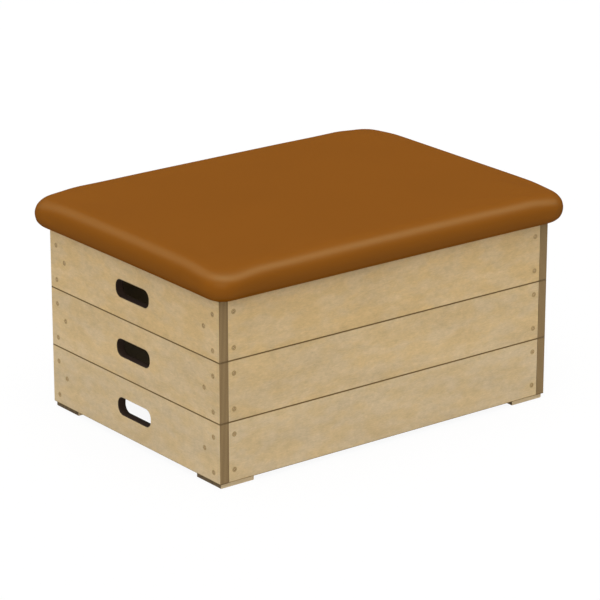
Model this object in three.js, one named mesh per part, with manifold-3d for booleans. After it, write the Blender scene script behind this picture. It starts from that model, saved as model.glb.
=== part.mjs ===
// A sectional vaulting box: three plywood frames that stack on corner posts, under a padded top.
// Lengths are millimetres and +Z is up. The origin is on the ground under the middle of the box,
// +X runs along its length, and its front, a long side, faces -Y.

import * as THREE from "three";
import { mergeVertices } from "three/addons/utils/BufferGeometryUtils.js";
import Module from "manifold-3d";

const wasm = await Module();
wasm.setup();

// Body
const BODY_LENGTH = 1000;
const BODY_WIDTH = 700;
const SECTION_NAMES = ["bottom", "middle", "top"];
const SECTION_HEIGHT = 150;
const END_PANEL_THICKNESS = 24;
const SIDE_PANEL_THICKNESS = 18;
const PANEL_ARRIS = 1.2;

// Clearance between pieces that are fastened or stacked together
const SEAT_GAP = 0.3;

// Hand holes, through the middle of each end panel
const HAND_HOLE_WIDTH = 136;
const HAND_HOLE_HEIGHT = 44;
const HAND_HOLE_RADIUS = 19;
const HAND_HOLE_ROUNDING = 3;
const HAND_HOLE_ROUNDING_STEPS = 2;

// Corner posts, and the tongues below them that locate a section in the one beneath
const POST_SIDE = 60;
const TONGUE_LENGTH = 18;
const TONGUE_CHAMFER = 5;
const TONGUE_SIDE_CLEARANCE = 2;
const TONGUE_END_CLEARANCE = 2;

// Feet
const FOOT_SIDE = 95;
const FOOT_HEIGHT = 12;
const FOOT_SETBACK = 5;
const FOOT_ARRIS = 1;

// Countersunk wood screws
const SCREW_HEAD_DIAMETER = 9.5;
const SCREW_SHANK_DIAMETER = 4.5;
const SCREW_HEAD_RIM = 0.5;
const SCREW_HEAD_SINK = 0.4;
const SCREW_POINT = 5;
const SIDE_SCREW_LENGTH = 50;
const SCREW_RECESS_WIDTH = 1.4;
const SCREW_RECESS_SPAN = 5;
const SCREW_RECESS_DEPTH = 1.6;
const END_SCREW_LENGTH = 60;
const SCREW_PASSING_GAP = 1.5;

// Where the screws enter: heights on an end panel, and distances past the neighbouring panel
const END_SCREW_RISE = 24;
const END_SCREW_DROP = 38;
const END_SCREW_INTO_POST = 8;
const MIDDLE_SCREW_INTO_POST = 43;
const SIDE_SCREW_INTO_POST = 17;

// Pad
const PAD_END_OVERHANG = 42;
const PAD_SIDE_OVERHANG = 50;
const PAD_EDGE_THICKNESS = 85;
const PAD_CROWN = 3;
const PAD_CORNER_RADIUS = 60;
const PAD_TOP_ROUNDING = 40;
const PAD_CORNER_DROP = 12;
const PAD_CORNER_REACH = 150;
const PAD_DRAW_IN = 2;
const PAD_SKIN = 2;
const PAD_BOARD_THICKNESS = 18;
const PAD_BOARD_MARGIN = 5;
const PAD_TURN_UNDER = 18;
const PAD_LEAST_CORNER = 4;

// Battens under the pad board
const BATTEN_SIDE = 30;

// Steps of curves, and how far cuts run past a face
const SQUARE_SIDES = 4;
const CORNER_STEPS = 3;
const PAD_CORNER_STEPS = 6;
const PAD_SIDE_STEPS = 4;
const PAD_ROUNDING_STEPS = 5;
const PAD_CROWN_STEPS = 4;
const SCREW_SIDES = 10;
const CUT_OVERRUN = 2;
const WELD = 1e-3;

// Sizes worked out from the ones above
const panelHeight = SECTION_HEIGHT - SEAT_GAP;
const sidePanelLength = BODY_LENGTH - 2 * (END_PANEL_THICKNESS + SEAT_GAP);
const headRadius = SCREW_HEAD_DIAMETER / 2;
const shankRadius = SCREW_SHANK_DIAMETER / 2;
const screwStagger = SCREW_SHANK_DIAMETER + SCREW_PASSING_GAP;
const tongueRoom = TONGUE_LENGTH + TONGUE_END_CLEARANCE;
const padLength = BODY_LENGTH + 2 * PAD_END_OVERHANG;
const padWidth = BODY_WIDTH + 2 * PAD_SIDE_OVERHANG;
const padBottomRounding = PAD_EDGE_THICKNESS - PAD_TOP_ROUNDING;
const boardInset = padBottomRounding + PAD_DRAW_IN + PAD_BOARD_MARGIN;
const boardBase = PAD_SKIN + SEAT_GAP;
const boardTop = boardBase + PAD_BOARD_THICKNESS;
const stackHeight = SECTION_NAMES.length * SECTION_HEIGHT;

// Finishes
const plywood = new THREE.MeshStandardMaterial({ color: 0xc3ab7e, roughness: 0.6 });
const hardwood = new THREE.MeshStandardMaterial({ color: 0xb08a5a, roughness: 0.65 });
const footWood = new THREE.MeshStandardMaterial({ color: 0xa3906c, roughness: 0.7 });
const steel = new THREE.MeshStandardMaterial({ color: 0x8f8a80, roughness: 0.35, metalness: 1 });
const vinyl = new THREE.MeshStandardMaterial({ color: 0x8b551a, roughness: 0.5 });
const foam = new THREE.MeshStandardMaterial({ color: 0xe3d9bd, roughness: 0.95 });

// A closed three.js geometry as a solid that can be joined and cut.
function toSolid(geometry) {
  const bare = geometry.clone();
  bare.deleteAttribute("normal");
  bare.deleteAttribute("uv");
  const welded = mergeVertices(bare, WELD);
  return new wasm.Manifold(
    new wasm.Mesh({
      numProp: 3,
      vertProperties: welded.attributes.position.array,
      triVerts: new Uint32Array(welded.index.array),
    }),
  );
}

// A solid back as a three.js geometry.
function toGeometry(solid) {
  const mesh = solid.getMesh();
  const geometry = new THREE.BufferGeometry();
  geometry.setAttribute("position", new THREE.BufferAttribute(mesh.vertProperties, mesh.numProp));
  geometry.setIndex(new THREE.BufferAttribute(mesh.triVerts, 1));
  return geometry;
}

function namedMesh(name, geometry, material, position = [0, 0, 0]) {
  const mesh = new THREE.Mesh(geometry, material);
  mesh.name = name;
  mesh.position.set(...position);
  return mesh;
}

// The outline of a rectangle with round corners about the origin, on a Shape or a Path.
function roundedRectangle(outline, width, height, radius) {
  const x = width / 2 - radius;
  const y = height / 2 - radius;
  outline.moveTo(-x, -height / 2);
  outline.lineTo(x, -height / 2);
  outline.absarc(x, -y, radius, -Math.PI / 2, 0);
  outline.lineTo(width / 2, y);
  outline.absarc(x, y, radius, 0, Math.PI / 2);
  outline.lineTo(-x, height / 2);
  outline.absarc(-x, y, radius, Math.PI / 2, Math.PI);
  outline.lineTo(-width / 2, -y);
  outline.absarc(-x, -y, radius, Math.PI, 1.5 * Math.PI);
  return outline;
}

function rectangle(width, height) {
  const outline = new THREE.Shape();
  outline.moveTo(-width / 2, -height / 2);
  outline.lineTo(width / 2, -height / 2);
  outline.lineTo(width / 2, height / 2);
  outline.lineTo(-width / 2, height / 2);
  return outline;
}

// A board cut to an outline, from z = 0 up to its thickness, with its edges eased.
function board(outline, thickness, easing, easingSteps = 1) {
  const geometry = new THREE.ExtrudeGeometry(outline, {
    depth: thickness - 2 * easing,
    bevelThickness: easing,
    bevelSize: easing,
    bevelOffset: -easing,
    bevelSegments: easingSteps,
    curveSegments: CORNER_STEPS,
  });
  return geometry.translate(0, 0, easing);
}

// Stands a board up as a panel: its outer face at y = 0 looks along +Y and its foot is at z = 0.
function standUp(geometry) {
  return geometry.rotateX(Math.PI / 2).translate(0, 0, panelHeight / 2);
}

// A screw along +Y whose panel face is y = 0, from its head down to its point.
function screwGeometry(length) {
  const neck = SCREW_HEAD_SINK + SCREW_HEAD_RIM + headRadius - shankRadius;
  const profile = [
    [0, -length],
    [shankRadius, SCREW_POINT - length],
    [shankRadius, -neck],
    [headRadius, -SCREW_HEAD_SINK - SCREW_HEAD_RIM],
    [headRadius, -SCREW_HEAD_SINK],
    [0, -SCREW_HEAD_SINK],
  ].map(([radius, y]) => new THREE.Vector2(radius, y));
  const body = toSolid(new THREE.LatheGeometry(profile, SCREW_SIDES));
  const recessHeight = SCREW_RECESS_DEPTH + CUT_OVERRUN;
  const recessMiddle = recessHeight / 2 - SCREW_RECESS_DEPTH - SCREW_HEAD_SINK;
  const slot = new THREE.BoxGeometry(SCREW_RECESS_SPAN, recessHeight, SCREW_RECESS_WIDTH);
  slot.translate(0, recessMiddle, 0);
  const crossSlot = slot.clone().rotateY(Math.PI / 2);
  return toGeometry(body.subtract(toSolid(slot)).subtract(toSolid(crossSlot)));
}

// The hole that such a screw needs, with its countersink, running out past the panel's face.
function screwHoleGeometry(length) {
  const neck = SCREW_HEAD_SINK + SCREW_HEAD_RIM + headRadius - shankRadius;
  const profile = [
    [0, -length - SEAT_GAP],
    [shankRadius + SEAT_GAP, -length - SEAT_GAP],
    [shankRadius + SEAT_GAP, -neck],
    [headRadius + SEAT_GAP, -SCREW_HEAD_SINK - SCREW_HEAD_RIM],
    [headRadius + SEAT_GAP, CUT_OVERRUN],
    [0, CUT_OVERRUN],
  ].map(([radius, y]) => new THREE.Vector2(radius, y));
  return new THREE.LatheGeometry(profile, SCREW_SIDES);
}

// Where the screws sit on a panel, as distances along it from its middle and heights.
function endScrewSpots() {
  const outer = BODY_WIDTH / 2 - SIDE_PANEL_THICKNESS - END_SCREW_INTO_POST;
  const inner = BODY_WIDTH / 2 - SIDE_PANEL_THICKNESS - MIDDLE_SCREW_INTO_POST;
  return [-1, 1].flatMap((end) => [
    { along: end * outer, height: END_SCREW_RISE },
    { along: end * inner, height: SECTION_HEIGHT / 2 },
    { along: end * outer, height: SECTION_HEIGHT - END_SCREW_DROP },
  ]);
}

function sideScrewSpots() {
  const along = BODY_LENGTH / 2 - END_PANEL_THICKNESS - SIDE_SCREW_INTO_POST;
  return [-1, 1].flatMap((end) => [
    { along: end * along, height: END_SCREW_RISE + screwStagger, level: "lower" },
    { along: end * along, height: SECTION_HEIGHT - END_SCREW_DROP + screwStagger, level: "upper" },
  ]);
}

// A panel with its screw holes cut.
function cutScrewHoles(geometry, spots, screwLength) {
  return toGeometry(
    spots.reduce((solid, spot) => {
      const hole = screwHoleGeometry(screwLength).translate(spot.along, 0, spot.height);
      return solid.subtract(toSolid(hole));
    }, toSolid(geometry)),
  );
}

function sidePanelGeometry() {
  const outline = rectangle(sidePanelLength, panelHeight);
  const blank = standUp(board(outline, SIDE_PANEL_THICKNESS, PANEL_ARRIS));
  return cutScrewHoles(blank, sideScrewSpots(), SIDE_SCREW_LENGTH);
}

// The rounded hand hole comes from a larger board, which is then trimmed to the panel's blank.
function endPanelGeometry() {
  const outline = rectangle(BODY_WIDTH, panelHeight);
  const blank = standUp(board(outline, END_PANEL_THICKNESS, PANEL_ARRIS));
  const spare = 2 * HAND_HOLE_ROUNDING;
  const holed = rectangle(BODY_WIDTH + spare, panelHeight + spare);
  holed.holes.push(
    roundedRectangle(new THREE.Path(), HAND_HOLE_WIDTH, HAND_HOLE_HEIGHT, HAND_HOLE_RADIUS),
  );
  const large = board(holed, END_PANEL_THICKNESS, HAND_HOLE_ROUNDING, HAND_HOLE_ROUNDING_STEPS);
  const panel = toSolid(blank).intersect(toSolid(standUp(large)));
  return cutScrewHoles(toGeometry(panel), endScrewSpots(), END_SCREW_LENGTH);
}

const sidePanel = sidePanelGeometry();
const endPanel = endPanelGeometry();
const sideScrew = screwGeometry(SIDE_SCREW_LENGTH);

// The four walls of a section. half is the distance of the outer face from the middle, and turn
// swings a panel's outward +Y to the way the wall faces.
const WALLS = [
  { name: "front", turn: Math.PI, half: BODY_WIDTH / 2, panel: sidePanel },
  { name: "back", turn: 0, half: BODY_WIDTH / 2, panel: sidePanel },
  { name: "left_end", turn: Math.PI / 2, half: BODY_LENGTH / 2, panel: endPanel },
  { name: "right_end", turn: -Math.PI / 2, half: BODY_LENGTH / 2, panel: endPanel },
];

function wallScrews(wall) {
  if (wall.panel === sidePanel) return { spots: sideScrewSpots(), length: SIDE_SCREW_LENGTH };
  return { spots: endScrewSpots(), length: END_SCREW_LENGTH };
}

// Every screw hole of a section as one solid, in the section's frame.
function sectionScrewHoles() {
  const holes = WALLS.flatMap((wall) => {
    const { spots, length } = wallScrews(wall);
    return spots.map(({ along, height }) =>
      toSolid(screwHoleGeometry(length).translate(along, wall.half, height).rotateZ(wall.turn)),
    );
  });
  return holes.reduce((all, hole) => all.add(hole));
}

const screwHoles = sectionScrewHoles();

// The corners, with the sign of X and of Y at each.
const CORNERS = [
  { name: "front_left", x: -1, y: -1 },
  { name: "front_right", x: 1, y: -1 },
  { name: "back_left", x: -1, y: 1 },
  { name: "back_right", x: 1, y: 1 },
];

// A square post from the bottom rim up to its top, with a slimmer tongue below where it has one.
function postBlank(top, hasTongue) {
  const half = POST_SIDE / 2;
  const tongueHalf = half - TONGUE_SIDE_CLEARANCE;
  const tongue = [
    [0, -TONGUE_LENGTH],
    [tongueHalf - TONGUE_CHAMFER, -TONGUE_LENGTH],
    [tongueHalf, TONGUE_CHAMFER - TONGUE_LENGTH],
    [tongueHalf, 0],
  ];
  const column = [
    [half, 0],
    [half, top],
    [0, top],
  ];
  const outline = [...(hasTongue ? tongue : [[0, 0]]), ...column];
  const profile = outline.map(([side, z]) => new THREE.Vector2(side * Math.SQRT2, z));
  const square = new THREE.LatheGeometry(profile, SQUARE_SIDES, Math.PI / SQUARE_SIDES);
  return square.rotateX(Math.PI / 2);
}

function postPlace(corner) {
  const x = BODY_LENGTH / 2 - END_PANEL_THICKNESS - SEAT_GAP - POST_SIDE / 2;
  const y = BODY_WIDTH / 2 - SIDE_PANEL_THICKNESS - SEAT_GAP - POST_SIDE / 2;
  return [corner.x * x, corner.y * y, 0];
}

function post(sectionName, corner, top, hasTongue) {
  const place = postPlace(corner);
  const [x, y] = place;
  const blank = toSolid(postBlank(top, hasTongue).translate(x, y, 0));
  const geometry = toGeometry(blank.subtract(screwHoles)).translate(-x, -y, 0);
  return namedMesh(`${sectionName}_post_${corner.name}`, geometry, hardwood, place);
}

// A wall: its panel, and on a long side its screws.
function wallGroup(sectionName, wall) {
  const group = new THREE.Group();
  group.rotation.z = wall.turn;
  group.add(namedMesh(`${sectionName}_${wall.name}_panel`, wall.panel, plywood, [0, wall.half, 0]));
  if (wall.panel !== sidePanel) return group;
  for (const { along, height, level } of sideScrewSpots()) {
    const end = Math.cos(wall.turn) * along < 0 ? "left" : "right";
    const name = `${sectionName}_${wall.name}_screw_${end}_${level}`;
    group.add(namedMesh(name, sideScrew, steel, [along, wall.half, height]));
  }
  return group;
}

// One frame of the stack: four walls round four posts.
function section(sectionName, index) {
  const group = new THREE.Group();
  group.position.z = FOOT_HEIGHT + SEAT_GAP + index * SECTION_HEIGHT;
  const isTop = index === SECTION_NAMES.length - 1;
  const postTop = isTop ? panelHeight : SECTION_HEIGHT - tongueRoom;
  const hasTongue = index > 0;
  WALLS.forEach((wall) => group.add(wallGroup(sectionName, wall)));
  CORNERS.forEach((corner) => group.add(post(sectionName, corner, postTop, hasTongue)));
  return group;
}

function feet() {
  const geometry = board(rectangle(FOOT_SIDE, FOOT_SIDE), FOOT_HEIGHT, FOOT_ARRIS);
  const x = BODY_LENGTH / 2 - FOOT_SETBACK - FOOT_SIDE / 2;
  const y = BODY_WIDTH / 2 - FOOT_SETBACK - FOOT_SIDE / 2;
  return CORNERS.map((corner) =>
    namedMesh(`foot_${corner.name}`, geometry, footWood, [corner.x * x, corner.y * y, 0]),
  );
}

// The battens lie inside the top section's long walls, between the posts and level with the rim.
function battens(topIndex) {
  const length = BODY_LENGTH - 2 * (END_PANEL_THICKNESS + POST_SIDE + 2 * SEAT_GAP);
  const geometry = board(rectangle(length, BATTEN_SIDE), BATTEN_SIDE, PANEL_ARRIS);
  const y = BODY_WIDTH / 2 - SIDE_PANEL_THICKNESS - SEAT_GAP - BATTEN_SIDE / 2;
  const sectionBase = FOOT_HEIGHT + SEAT_GAP + topIndex * SECTION_HEIGHT;
  const z = sectionBase + panelHeight - BATTEN_SIDE;
  return [
    namedMesh("top_front_batten", geometry, hardwood, [0, -y, z]),
    namedMesh("top_back_batten", geometry, hardwood, [0, y, z]),
  ];
}

// One level of the pad: a rectangle with round corners, moved in from the widest outline by inset.
// Its sides draw in towards their middles, and share shrinks it towards the pad's middle.
function padRing({ inset, z, drawIn = PAD_DRAW_IN, share = 1 }) {
  const radius = Math.max(PAD_CORNER_RADIUS - inset, PAD_LEAST_CORNER);
  const x = padLength / 2 - inset - radius;
  const y = padWidth / 2 - inset - radius;
  const centres = [
    [x, -y],
    [x, y],
    [-x, y],
    [-x, -y],
  ];
  const ring = [];
  const addPoint = (cx, cy, reach, angle) => {
    const px = cx + reach * Math.cos(angle);
    const py = cy + reach * Math.sin(angle);
    ring.push(new THREE.Vector3(px * share, py * share, z));
  };
  centres.forEach(([cx, cy], index) => {
    const start = ((index - 1) * Math.PI) / 2;
    const outward = start + Math.PI / 2;
    const [nextX, nextY] = centres[(index + 1) % centres.length];
    for (let step = 0; step <= PAD_CORNER_STEPS; step++) {
      addPoint(cx, cy, radius, start + ((step / PAD_CORNER_STEPS) * Math.PI) / 2);
    }
    for (let step = 1; step < PAD_SIDE_STEPS; step++) {
      const along = step / PAD_SIDE_STEPS;
      const reach = radius - drawIn * Math.sin(along * Math.PI);
      addPoint(cx + (nextX - cx) * along, cy + (nextY - cy) * along, reach, outward);
    }
  });
  return ring;
}

function crownRise(share) {
  return (PAD_CROWN / 2) * (1 + Math.cos(share * Math.PI));
}

// The pad is thinner towards its corners, where the cover pulls the foam down.
function dropCorners(ring) {
  for (const point of ring) {
    const [gapX, gapY] = [padLength / 2 - Math.abs(point.x), padWidth / 2 - Math.abs(point.y)];
    const share = Math.max(1 - Math.hypot(gapX, gapY) / PAD_CORNER_REACH, 0);
    const drop = PAD_CORNER_DROP * share * share * (3 - 2 * share);
    point.z -= (drop * Math.max(point.z - boardBase, 0)) / PAD_EDGE_THICKNESS;
  }
  return ring;
}

// The pad's surface at a depth below its outer face, as rings from near the crown down to the base.
function padSurface(depth) {
  const rings = [];
  const topRadius = PAD_TOP_ROUNDING - depth;
  const bottomRadius = padBottomRounding - depth;
  for (let step = 1; step <= PAD_CROWN_STEPS; step++) {
    const share = step / PAD_CROWN_STEPS;
    const z = PAD_EDGE_THICKNESS - depth + crownRise(share);
    rings.push(padRing({ inset: PAD_TOP_ROUNDING, z, share }));
  }
  for (let step = 1; step <= PAD_ROUNDING_STEPS; step++) {
    const angle = ((step / PAD_ROUNDING_STEPS) * Math.PI) / 2;
    const inset = PAD_TOP_ROUNDING - topRadius * Math.sin(angle);
    const z = padBottomRounding + topRadius * Math.cos(angle);
    rings.push(padRing({ inset, z }));
  }
  for (let step = 1; step <= PAD_ROUNDING_STEPS; step++) {
    const angle = ((step / PAD_ROUNDING_STEPS) * Math.PI) / 2;
    const inset = padBottomRounding - bottomRadius * Math.cos(angle);
    const z = padBottomRounding - bottomRadius * Math.sin(angle);
    rings.push(padRing({ inset, z }));
  }
  return rings.map(dropCorners);
}

// A closed skin over a list of rings, shut by a middle point at each end. From the ring numbered
// turn on, the rings run back the way they came, and the patches between them are split along the
// other diagonal, so that both layers of a skin bend alike.
function ringsGeometry(firstHeight, rings, lastHeight, turn = rings.length) {
  const count = rings[0].length;
  const points = [new THREE.Vector3(0, 0, firstHeight), ...rings.flat()];
  const last = points.push(new THREE.Vector3(0, 0, lastHeight)) - 1;
  const faces = [];
  const at = (ring, index) => 1 + ring * count + (index % count);
  for (let index = 0; index < count; index++) {
    faces.push(0, at(0, index), at(0, index + 1));
    for (let ring = 1; ring < rings.length; ring++) {
      const [a, b] = [at(ring - 1, index), at(ring - 1, index + 1)];
      const [c, d] = [at(ring, index + 1), at(ring, index)];
      if (ring > turn) {
        faces.push(a, d, b, b, d, c);
      } else {
        faces.push(a, d, c, a, c, b);
      }
    }
    faces.push(last, at(rings.length - 1, index + 1), at(rings.length - 1, index));
  }
  return new THREE.BufferGeometry().setFromPoints(points).setIndex(faces);
}

function padBoardGeometry() {
  const corners = padRing({ inset: boardInset, z: 0, drawIn: 0 });
  const outline = new THREE.Shape(corners.map(({ x, y }) => new THREE.Vector2(x, y)));
  return board(outline, PAD_BOARD_THICKNESS, PANEL_ARRIS);
}

// The foam lies on the board and wraps round its edges, down to the turned-under cover.
function padFoamGeometry() {
  const depth = PAD_SKIN + SEAT_GAP;
  const pocket = { inset: boardInset - SEAT_GAP, drawIn: 0 };
  const pocketTop = boardTop + SEAT_GAP;
  const rings = [
    ...padSurface(depth),
    padRing({ ...pocket, z: depth }),
    padRing({ ...pocket, z: pocketTop }),
  ];
  return ringsGeometry(PAD_EDGE_THICKNESS + PAD_CROWN - depth, rings, pocketTop);
}

// The cover is one skin over the foam, turned under the board's edge and open below.
function padCoverGeometry() {
  const hem = { inset: boardInset + PAD_TURN_UNDER, drawIn: 0 };
  const outside = [...padSurface(0), padRing({ ...hem, z: 0 })];
  const rings = [
    ...outside,
    padRing({ ...hem, z: PAD_SKIN }),
    ...padSurface(PAD_SKIN).reverse(),
  ];
  const top = PAD_EDGE_THICKNESS + PAD_CROWN;
  return ringsGeometry(top, rings, top - PAD_SKIN, outside.length);
}

function pad() {
  const group = new THREE.Group();
  group.position.z = FOOT_HEIGHT + SEAT_GAP + stackHeight;
  group.add(namedMesh("pad_board", padBoardGeometry(), plywood, [0, 0, boardBase]));
  group.add(namedMesh("pad_foam", padFoamGeometry(), foam));
  group.add(namedMesh("pad_cover", padCoverGeometry(), vinyl));
  return group;
}

const vaultingBox = new THREE.Group();
vaultingBox.add(...feet());
vaultingBox.add(...SECTION_NAMES.map(section));
vaultingBox.add(...battens(SECTION_NAMES.length - 1));
vaultingBox.add(pad());

export default vaultingBox;
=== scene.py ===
"""The looks of a sectional vaulting box: birch plywood sections on feet, under a vinyl pad.

Lengths are metres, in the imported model's frame: +Z is up, the long front side faces -Y, and the
end that shows from the front left faces -X.
"""

import math

import bmesh
import bpy
from mathutils import Matrix, Vector


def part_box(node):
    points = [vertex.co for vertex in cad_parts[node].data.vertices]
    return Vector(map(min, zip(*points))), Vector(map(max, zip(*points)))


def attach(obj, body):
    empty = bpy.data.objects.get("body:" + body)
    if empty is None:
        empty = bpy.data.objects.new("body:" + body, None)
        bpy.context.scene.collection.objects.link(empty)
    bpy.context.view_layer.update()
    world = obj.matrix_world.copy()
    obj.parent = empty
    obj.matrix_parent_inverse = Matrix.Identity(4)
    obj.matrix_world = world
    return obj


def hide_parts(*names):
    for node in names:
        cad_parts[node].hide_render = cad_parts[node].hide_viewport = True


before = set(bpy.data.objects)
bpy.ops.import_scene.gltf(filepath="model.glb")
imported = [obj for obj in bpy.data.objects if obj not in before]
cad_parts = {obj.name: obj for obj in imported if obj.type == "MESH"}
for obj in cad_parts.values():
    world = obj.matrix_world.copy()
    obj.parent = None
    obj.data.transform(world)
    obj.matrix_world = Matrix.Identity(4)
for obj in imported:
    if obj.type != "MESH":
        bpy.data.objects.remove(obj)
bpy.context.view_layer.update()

X, Y, Z = 0, 1, 2
SECTIONS = ("bottom", "middle", "top")
WALLS = ("front", "back")
ENDS = ("left", "right")
SECTION_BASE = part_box("bottom_front_panel")[0].z
SECTION_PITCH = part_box("middle_front_panel")[0].z - SECTION_BASE
SECTION_SLACK = 0.001
PANEL_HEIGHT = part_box("bottom_front_panel")[1].z - SECTION_BASE

# Where the screws are: distances from the middle of a panel, and heights above its foot
END_SCREW_SPOTS = ((0.324, 0.024), (0.289, 0.075), (0.324, 0.112))
SIDE_SCREW_SPOTS = ((0.459, 0.030), (0.459, 0.118))

# Node trees


class Value:
    """What comes out of a node. Sums on it add Math nodes."""

    def __init__(self, graph, socket):
        self.graph, self.socket = graph, socket

    def math(self, operation, *terms):
        return self.graph.node("ShaderNodeMath", {"operation": operation}, dict(enumerate(terms)))

    def __add__(self, other):
        return self.math("ADD", self, other)

    __radd__ = __add__

    def __sub__(self, other):
        return self.math("SUBTRACT", self, other)

    def __rsub__(self, other):
        return self.math("SUBTRACT", other, self)

    def __mul__(self, other):
        return self.math("MULTIPLY", self, other)

    __rmul__ = __mul__

    def __truediv__(self, other):
        return self.math("DIVIDE", self, other)

    def __neg__(self):
        return self * -1.0

    def __gt__(self, other):
        return self.math("GREATER_THAN", self, other)

    def __abs__(self):
        return self.math("ABSOLUTE", self)

    def __floor__(self):
        return self.math("FLOOR", self)

    def most(self, other):
        return self.math("MAXIMUM", self, other)

    def least(self, other):
        return self.math("MINIMUM", self, other)

    def about(self, swing):
        """Noise from 0 to 1 as a change about 0, of half the swing at most either way."""
        return (self - 0.5) * swing

    def zigzag(self):
        """1 at each whole number and 0 halfway between two."""
        return abs(self.math("FRACT", self) - 0.5) * 2.0

    def ramp(self, low, high):
        """0 at low and 1 at high, smooth between them and level beyond. low may be the larger."""
        sockets = {"Value": self, "From Min": low, "From Max": high}
        return self.graph.node("ShaderNodeMapRange", {"interpolation_type": "SMOOTHSTEP"}, sockets)


class Graph:
    """A node tree in the making."""

    def __init__(self, tree):
        self.tree = tree

    def node(self, kind, settings=None, sockets=None, out=0):
        """Adds a node: first its settings, then the value or link of each socket.

        Returns the outlet that out names, or a list of outlets where out is a tuple.
        """
        node = self.tree.nodes.new(kind)
        for name, setting in (settings or {}).items():
            setattr(node, name, setting)
        for name, value in (sockets or {}).items():
            self.feed(node.inputs[name], value)
        if isinstance(out, tuple):
            return [Value(self, node.outputs[name]) for name in out]
        return Value(self, node.outputs[out])

    def feed(self, socket, value):
        """Links a socket to a value, or to each value of a list, or else sets its number."""
        if isinstance(value, list):
            for part in value:
                self.feed(socket, part)
        elif isinstance(value, Value):
            self.tree.links.new(value.socket, socket)
        else:
            socket.default_value = value

    def vector(self, x=0.0, y=0.0, z=0.0):
        return self.node("ShaderNodeCombineXYZ", sockets={X: x, Y: y, Z: z})

    def split(self, vector):
        return self.node("ShaderNodeSeparateXYZ", sockets={0: vector}, out=(X, Y, Z))


class Finish(Graph):
    """A surface finish: one shader, and what varies over it."""

    def __init__(self, name):
        self.material = bpy.data.materials.new(name)
        self.material.use_nodes = True
        super().__init__(self.material.node_tree)
        self.shader = self.tree.nodes["Principled BSDF"]
        self.body = Value(self, self.shader.outputs[0])

    def place(self):
        return self.node("ShaderNodeTexCoord", out="Object")

    def normal(self):
        return self.split(self.node("ShaderNodeNewGeometry", out="True Normal"))

    def length(self, vector):
        return self.node("ShaderNodeVectorMath", {"operation": "LENGTH"}, {0: vector}, "Value")

    def noise(self, vector, scale=1.0, detail=2.0, roughness=0.5, distortion=0.0):
        sockets = {
            "Vector": vector,
            "Scale": scale,
            "Detail": detail,
            "Roughness": roughness,
            "Distortion": distortion,
        }
        return self.node("ShaderNodeTexNoise", sockets=sockets)

    def mix(self, share, one, other, blend="MIX"):
        settings = {"data_type": "RGBA", "blend_type": blend}
        sockets = {"Factor": share, "A": one, "B": other}
        return self.node("ShaderNodeMix", settings, sockets, out="Result")

    def shade(self, colour, amount):
        """A colour made lighter or darker by an amount that varies about 1."""
        grey = self.node("ShaderNodeCombineColor", sockets={0: amount, 1: amount, 2: amount})
        return self.mix(1.0, colour, grey, "MULTIPLY")

    def bump(self, height, depth):
        """height is from 0 to 1, and depth is in metres."""
        return self.node("ShaderNodeBump", sockets={"Height": height, "Distance": depth})

    def mix_shaders(self, share, one, other):
        return self.node("ShaderNodeMixShader", sockets={0: share, 1: one, 2: other})

    def finished(self, **sockets):
        for name, value in sockets.items():
            self.feed(self.shader.inputs[name.replace("_", " ")], value)
        return self.material

    def shown_as(self, whole):
        """Shows another shader in place of the body's own."""
        self.feed(self.tree.nodes["Material Output"].inputs["Surface"], whole)
        return self.material

    def polished(self, share, tone, roughness, normal):
        """Lets a small share of the surface mirror the light, the same from every side."""
        sockets = {
            "Base Color": tone,
            "Metallic": 1.0,
            "Roughness": roughness,
            "Normal": normal,
        }
        shine = self.node("ShaderNodeBsdfPrincipled", sockets=sockets)
        return self.shown_as(self.mix_shaders(share, self.body, shine))


def rgb(red, green, blue):
    return (red, green, blue, 1.0)


WHITE = rgb(1.0, 1.0, 1.0)

# Wood


class Pattern:
    """Noise in wood: its repeats in a metre along and across the grain, and its settings.

    swing is how much it changes the tone, and offset sets it apart from the other patterns.
    """

    def __init__(self, along, across, swing=0.0, offset=0.0, **noise):
        self.along, self.across = along, across
        self.swing, self.offset, self.noise = swing, offset, noise


# Birch plywood: the veneer of the faces
FACE_BEIGE = rgb(0.612, 0.449, 0.243)
FACE_GOLD = rgb(0.612, 0.428, 0.202)
# The lower sections' tones, paler than the top's: partly another veneer tone, partly painted light
# against the shade near the floor
LOWER_TONE_AND_LIGHT_BEIGE = rgb(0.600, 0.463, 0.280)
LOWER_TONE_AND_LIGHT_GOLD = rgb(0.602, 0.445, 0.240)
# The inside faces of the panels are darkened by this factor, as painted shade inside the box
INSIDE_PAINTED_SHADE = 0.42
BLOTCHES = Pattern(3.6, 17.0, swing=0.36, detail=4.0)
MOTTLE = Pattern(38.0, 62.0, swing=0.42, detail=5.0, roughness=0.66)
FLECKS = Pattern(110.0, 330.0, swing=0.40, detail=3.0, roughness=0.7)
STREAKS = Pattern(9.0, 330.0, swing=0.10, detail=3.0, roughness=0.62)
GOLD_PATCHES = Pattern(14.0, 26.0, offset=4.0, detail=3.0)
GOLD_PATCH_FADE = (0.34, 0.66)
GROWTH_WAVES = Pattern(1.7, 7.5, detail=1.5, distortion=0.35)
RINGS_IN_WAVE = 17.0
RING_LINE = (0.40, 0.0)
RING_DARKENING = 0.020
PORES = Pattern(95.0, 1500.0, detail=1.0)
PORE_FADE = (0.66, 0.78)
PORE_DARKENING = 0.09
# How far apart the grain of two boards is, from one section to the next and from wall to wall
SECTION_GRAIN_STEP, WALL_GRAIN_STEP = 2.7, 9.1
VENEER_ROUGHNESS, VENEER_ROUGHNESS_SWING = 0.52, 0.16
VENEER_SPECULAR = 0.12
VENEER_DEPTH = 0.00008
STREAK_RELIEF, PORE_RELIEF, RING_RELIEF = 0.6, 0.5, 0.15
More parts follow.
